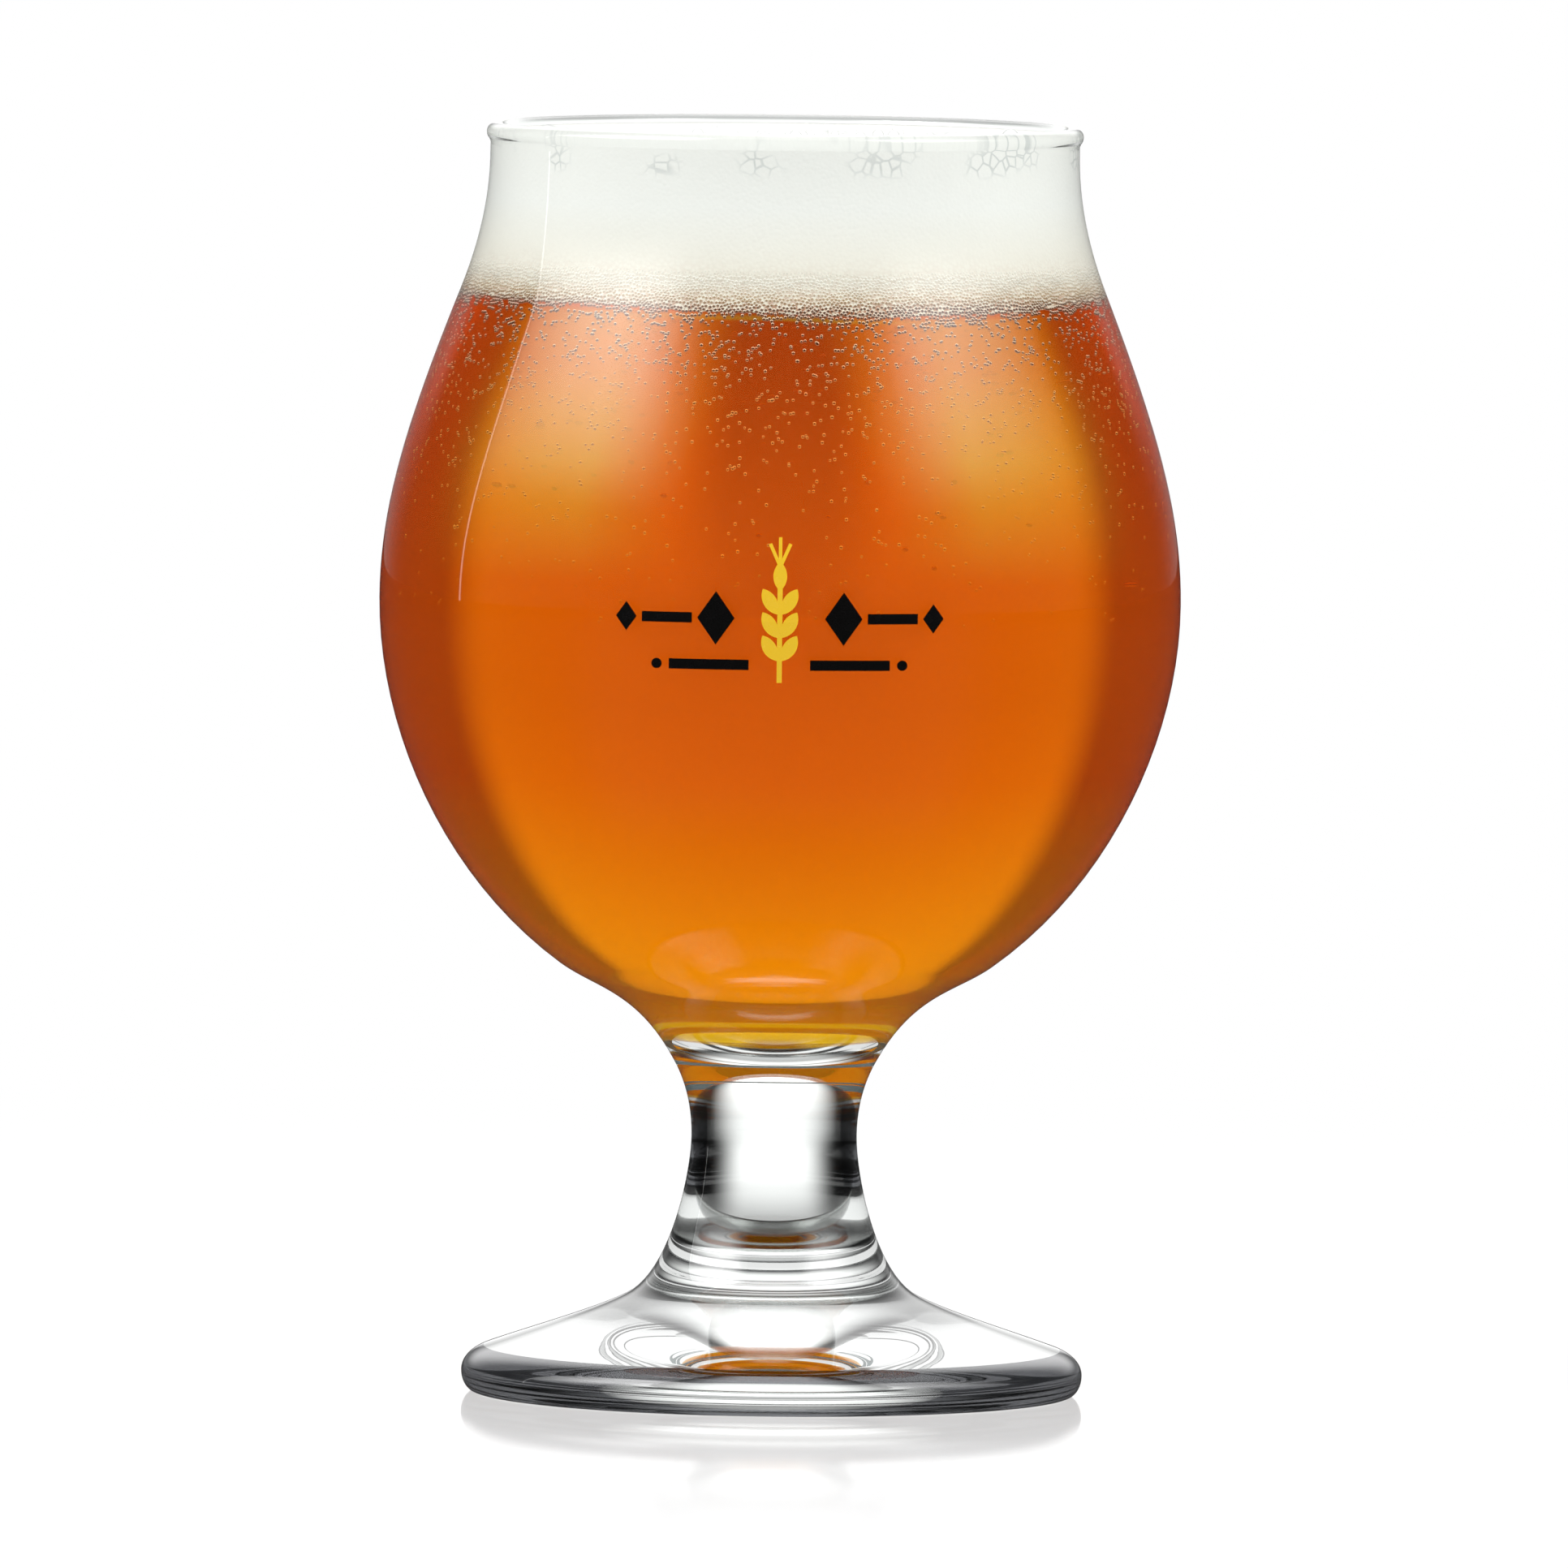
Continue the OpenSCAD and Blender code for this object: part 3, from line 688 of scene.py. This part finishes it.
atFront = addNode(tree, "ShaderNodeMapRange",
                  between(tableLook["mirrorFrom"], tableLook["mirrorBack"], unit=degree), {"Value": angle.outputs[0]})
mirror = addNode(tree, "ShaderNodeMath", {"operation": "MULTIPLY"}, {0: mirror.outputs[0], 1: atFront.outputs[0]})
close = addNode(tree, "ShaderNodeMixShader", {}, {0: mirror.outputs[0], 1: white.outputs[0], 2: gloss.outputs[0]})
away = addNode(tree, "ShaderNodeMapRange", between(tableLook["fadeOut"]), {"Value": distance.outputs["Value"]})
bare = addNode(tree, "ShaderNodeEmission", {"Color": grey(1.0), "Strength": 1.0})
seen = addNode(tree, "ShaderNodeMixShader", {}, {0: away.outputs[0], 1: close.outputs[0], 2: bare.outputs[0]})
# What the glass shows of it: a sheet as shiny as a mirror at low angles, which shows the card behind, with a painted
# pool of light under the foot. Painted shade darkens its sides seen through the clear stem, and its middle seen
# through the drink, the foot and stem
# Painted pool of light under the foot
under = addNode(tree, "ShaderNodeMapRange", between(tableLook["paintedPoolUnderFoot"], 1.0, 0.0),
                {"Value": distance.outputs["Value"]})
straight = addNode(tree, "ShaderNodeMath", {"operation": "LESS_THAN", 1: first}, {0: path.outputs["Glossy Depth"]})
under = addNode(tree, "ShaderNodeMath", {"operation": "MULTIPLY"}, {0: under.outputs[0], 1: straight.outputs[0]})
front = addNode(tree, "ShaderNodeMapRange",
                between(tableLook["underFrom"], tableLook["underBack"], unit=degree, eased=False),
                {"Value": angle.outputs[0]})
under = addNode(tree, "ShaderNodeMath", {"operation": "MULTIPLY"}, {0: under.outputs[0], 1: front.outputs[0]})
lit = addNode(tree, "ShaderNodeEmission", {"Color": grey(1.0)}, {"Strength": under.outputs[0]})
lowAngle = addNode(tree, "ShaderNodeLayerWeight")
shine = addNode(tree, "ShaderNodeMapRange", between(tableLook["shine"], tableLook["least"]),
                {"Value": lowAngle.outputs["Facing"]})
# Painted shade: the middle and the sides seen through the glass are darkened
stripe = addNode(tree, "ShaderNodeMapRange", between(tableLook["stripe"], 1.0, 0.0, unit=degree),
                 {"Value": angle.outputs[0]})
steep = addNode(tree, "ShaderNodeMapRange", between(tableLook["steep"], eased=False),
                {"Value": lowAngle.outputs["Facing"]})
middle = addNode(tree, "ShaderNodeMath", {"operation": "MULTIPLY"}, {0: stripe.outputs[0], 1: steep.outputs[0]})
sides = addNode(tree, "ShaderNodeMapRange", between(tableLook["sides"], end=tableLook["sideLoss"], unit=degree),
                {"Value": angle.outputs[0]})
notFlat = addNode(tree, "ShaderNodeMapRange", between(tableLook["sidesBelow"], eased=False),
                  {"Value": lowAngle.outputs["Facing"]})
sides = addNode(tree, "ShaderNodeMath", {"operation": "MULTIPLY"}, {0: sides.outputs[0], 1: notFlat.outputs[0]})
drink = addNode(tree, "ShaderNodeMapRange", between(drinkPasses, eased=False),
                {"Value": path.outputs["Transmission Depth"]})
paintedDimming = addNode(tree, "ShaderNodeMix", {"data_type": "FLOAT"},
                 {0: drink.outputs[0], 2: sides.outputs[0], 3: middle.outputs[0]})
paintedDimming = addNode(tree, "ShaderNodeMath", {"operation": "SUBTRACT", 0: 1.0}, {1: paintedDimming.outputs[0]})
shine = addNode(tree, "ShaderNodeMath", {"operation": "MULTIPLY"}, {0: shine.outputs[0], 1: paintedDimming.outputs[0]})
inGlass = addNode(tree, "ShaderNodeMixShader", {}, {0: shine.outputs[0], 1: lit.outputs[0], 2: gloss.outputs[0]})
# Further round it is as white in the glass as the paper behind it
edges = edgesThrough(tree, path, tableLook["clearPaper"], tableLook["drinkPaper"])
beyond = addNode(tree, "ShaderNodeMapRange", {"interpolation_type": "SMOOTHSTEP"},
                 {"Value": angle.outputs[0], "From Min": edges[0], "From Max": edges[1]})
clearOfFoot = addNode(tree, "ShaderNodeMapRange", between(tableLook["paperFrom"], eased=False),
                      {"Value": distance.outputs["Value"]})
beyond = addNode(tree, "ShaderNodeMath", {"operation": "MULTIPLY"}, {0: beyond.outputs[0], 1: clearOfFoot.outputs[0]})
paper = addNode(tree, "ShaderNodeEmission", {"Color": grey(1.0), "Strength": tableLook["paper"]})
inGlass = addNode(tree, "ShaderNodeMixShader", {}, {0: beyond.outputs[0], 1: inGlass.outputs[0], 2: paper.outputs[0]})
# Shiny surfaces see it in painted shade, almost black, and soft light finds it white
level = addNode(tree, "ShaderNodeMapRange", between((0, 1), *tableLook["others"], eased=False),
                {"Value": path.outputs["Is Glossy Ray"]})
plain = addNode(tree, "ShaderNodeBsdfDiffuse", {}, {"Color": level.outputs[0]})
others = addNode(tree, "ShaderNodeMixShader", {},
                 {0: path.outputs["Is Transmission Ray"], 1: plain.outputs[0], 2: inGlass.outputs[0]})
whole = addNode(tree, "ShaderNodeMixShader", {},
                {0: path.outputs["Is Camera Ray"], 1: others.outputs[0], 2: seen.outputs[0]})
addNode(tree, "ShaderNodeOutputMaterial", {}, {"Surface": whole.outputs[0]})
mesh.materials.append(polishedTable)

aside, up = math.radians(studio["lampAngle"]), math.radians(studio["lampUp"])
for side in (-1, 1):
    lampData = bpy.data.lights.new("softLamp", "AREA")
    lampData.shape, lampData.size, lampData.energy = "SQUARE", studio["lampSize"], studio["lampPower"]
    lamp = bpy.data.objects.new("softLamp", lampData)
    scene.collection.objects.link(lamp)
    direction = Vector((side * math.sin(aside) * math.cos(up), -math.cos(aside) * math.cos(up), math.sin(up)))
    lamp.location = studio["lampDistance"] * direction
    lamp.location.z += studio["lampHeight"]
    back = Vector((0, 0, studio["lampHeight"])) - lamp.location
    lamp.rotation_euler = back.to_track_quat("-Z", "Y").to_euler()
    lamp.visible_camera = lamp.visible_glossy = lamp.visible_transmission = False

world = bpy.data.worlds.new("studio")
scene.world = world
world.use_nodes = True
tree = world.node_tree
tree.nodes.clear()
path = addNode(tree, "ShaderNodeLightPath")
ray = addNode(tree, "ShaderNodeTexCoord")
parts = addNode(tree, "ShaderNodeSeparateXYZ", {}, {0: ray.outputs["Generated"]})
turn = addNode(tree, "ShaderNodeMath", {"operation": "ARCTAN2"}, {0: parts.outputs["X"], 1: parts.outputs["Y"]})
angle = addNode(tree, "ShaderNodeMath", {"operation": "ABSOLUTE"}, {0: turn.outputs[0]})
rise = addNode(tree, "ShaderNodeMath", {"operation": "ARCSINE"}, {0: parts.outputs["Z"]})
share = addNode(tree, "ShaderNodeMapRange", between((-180, 180), unit=degree, eased=False),
                {"Value": turn.outputs[0]})
panels = addNode(tree, "ShaderNodeValToRGB", {}, {0: share.outputs[0]},
                 [((a + 180) / 360, grey(level)) for a, level in studio["panels"]])
aside = addNode(tree, "ShaderNodeMath", {"operation": "ABSOLUTE"}, {0: parts.outputs["X"]})
panelAt = math.radians(studio["panelAt"])
towards = addNode(tree, "ShaderNodeMath", {"operation": "MULTIPLY", 1: math.sin(panelAt)}, {0: aside.outputs[0]})
towards = addNode(tree, "ShaderNodeMath", {"operation": "MULTIPLY_ADD", 1: math.cos(panelAt)},
                  {0: parts.outputs["Y"], 2: towards.outputs[0]})
height = addNode(tree, "ShaderNodeMath", {"operation": "DIVIDE"}, {0: parts.outputs["Z"], 1: towards.outputs[0]})
raised = addNode(tree, "ShaderNodeMapRange", between(studio["panelRise"], end=studio["panelPeak"]),
                 {"Value": height.outputs[0]})
ended = addNode(tree, "ShaderNodeMapRange", between(studio["panelEnd"], 1.0, 0.0), {"Value": height.outputs[0]})
panelLight = addNode(tree, "ShaderNodeMath", {"operation": "MULTIPLY"}, {0: panels.outputs[0], 1: raised.outputs[0]})
panelLight = addNode(tree, "ShaderNodeMath", {"operation": "MULTIPLY"},
                     {0: panelLight.outputs[0], 1: ended.outputs[0]})
# A thin bright line down the left panel's outer edge
onLine = addNode(tree, "ShaderNodeMath", {"operation": "COMPARE", 1: math.radians(studio["lineAt"]),
                 2: math.radians(studio["lineWidth"] / 2)}, {0: turn.outputs[0]})
mirrored = addNode(tree, "ShaderNodeMath", {"operation": "MULTIPLY_ADD", 1: studio["line"]},
                   {0: onLine.outputs[0], 2: panelLight.outputs[0]})
# The panels are only mirrored by the outside of the glass
outside = addNode(tree, "ShaderNodeMath", {"operation": "LESS_THAN", 1: first},
                  {0: path.outputs["Transmission Depth"]})
# The card behind is brighter higher up, and has a softer edge through the clear stem than through the drink
edges = edgesThrough(tree, path, studio["clearEdge"], studio["drinkEdge"])
level = addNode(tree, "ShaderNodeMapRange", between(studio["cardRise"], *studio["card"], unit=degree, eased=False),
                {"Value": rise.outputs[0]})
# The outside of the glass mirrors it only weakly low down, and the table mirrors it straight behind
weak = addNode(tree, "ShaderNodeMapRange", between(studio["lowShineTo"], studio["lowShine"], unit=degree),
               {"Value": rise.outputs[0]})
straight = addNode(tree, "ShaderNodeMapRange",
                   between(studio["lowShineFrom"], 1.0, 0.0, unit=degree, eased=False), {"Value": angle.outputs[0]})
weak = addNode(tree, "ShaderNodeMath", {"operation": "MAXIMUM"}, {0: weak.outputs[0], 1: straight.outputs[0]})
weak = addNode(tree, "ShaderNodeMix", {"data_type": "FLOAT", 2: 1.0}, {0: outside.outputs[0], 3: weak.outputs[0]})
level = addNode(tree, "ShaderNodeMath", {"operation": "MULTIPLY"}, {0: level.outputs[0], 1: weak.outputs[0]})
card = addNode(tree, "ShaderNodeMapRange", {"interpolation_type": "SMOOTHSTEP", "To Max": studio["room"]},
               {"Value": angle.outputs[0], "From Min": edges[0], "From Max": edges[1], "To Min": level.outputs[0]})
light = addNode(tree, "ShaderNodeMath", {"operation": "MULTIPLY_ADD"},
                {0: mirrored.outputs[0], 1: outside.outputs[0], 2: card.outputs[0]})
# Further round there is plain white paper, only looked at through the glass, and white light overhead
beyond = addNode(tree, "ShaderNodeMapRange", between(studio["backdropFrom"], end=studio["backdrop"], unit=degree),
                 {"Value": angle.outputs[0]})
light = addNode(tree, "ShaderNodeMath", {"operation": "MULTIPLY_ADD"},
                {0: beyond.outputs[0], 1: path.outputs["Is Transmission Ray"], 2: light.outputs[0]})
overhead = addNode(tree, "ShaderNodeMapRange", between(studio["overheadFrom"], end=studio["overhead"], unit=degree),
                   {"Value": rise.outputs[0]})
light = addNode(tree, "ShaderNodeMath", {"operation": "MAXIMUM"}, {0: light.outputs[0], 1: overhead.outputs[0]})
# Light that has been thrown about inside the thick foot comes out soft
often = addNode(tree, "ShaderNodeMapRange", between(studio["softAfter"], end=studio["deep"], eased=False),
                {"Value": path.outputs["Glossy Depth"]})
clearOnly = addNode(tree, "ShaderNodeMath", {"operation": "LESS_THAN", 1: clearPasses},
                    {0: path.outputs["Transmission Depth"]})
often = addNode(tree, "ShaderNodeMath", {"operation": "MULTIPLY"}, {0: often.outputs[0], 1: clearOnly.outputs[0]})
light = addNode(tree, "ShaderNodeMath", {"operation": "MAXIMUM"}, {0: light.outputs[0], 1: often.outputs[0]})
# Soft light finds an even room, and the camera plain white
sharp = addNode(tree, "ShaderNodeMath", {"operation": "MAXIMUM"},
                {0: path.outputs["Is Glossy Ray"], 1: path.outputs["Is Transmission Ray"]})
roomLight = addNode(tree, "ShaderNodeMix", {"data_type": "FLOAT", 2: studio["ambient"]},
                    {0: sharp.outputs[0], 3: light.outputs[0]})
cameraSees = addNode(tree, "ShaderNodeMix", {"data_type": "FLOAT", 3: 1.0},
                     {0: path.outputs["Is Camera Ray"], 2: roomLight.outputs[0]})
sky = addNode(tree, "ShaderNodeBackground", {"Color": grey(1.0)}, {"Strength": cameraSees.outputs[0]})
addNode(tree, "ShaderNodeOutputWorld", {}, {"Surface": sky.outputs[0]})
print("studio lit")
